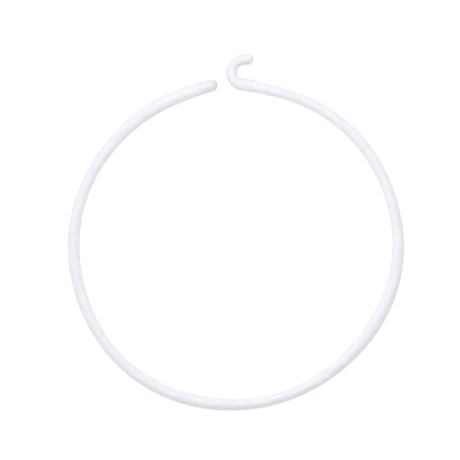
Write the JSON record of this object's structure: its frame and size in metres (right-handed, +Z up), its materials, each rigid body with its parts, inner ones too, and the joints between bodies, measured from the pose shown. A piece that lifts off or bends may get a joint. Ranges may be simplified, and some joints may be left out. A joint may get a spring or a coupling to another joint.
{
  "type": "open hoop with hook end",
  "caption": "Flat-lying open hoop of covered steel rod: one end turns outward into a small hook for hanging, the other ends in a round nose, with a gap between them.",
  "frame": {"origin": "under the middle of the hoop's outline, hook included, on the surface that it lies on", "axes": "+Z up, out of the hoop's plane; +Y from the middle of the hoop to its gap and hook; +X to the right, the way the mouth of the hook opens"},
  "size_m": [0.5042, 0.5354, 0.018],
  "materials": {
    "rod_steel": "bright drawn wire, hidden inside the sleeve",
    "sleeve_white": "soft satin plastic, cool white, slightly uneven skin",
    "cap_white": "soft satin plastic, moulded"
  },
  "bodies": {
    "root": {"core_rod": "rod_steel", "sleeve": "sleeve_white", "plain_end_cap": "cap_white", "hook_tip_cap": "cap_white"}
  },
  "joints": []
}
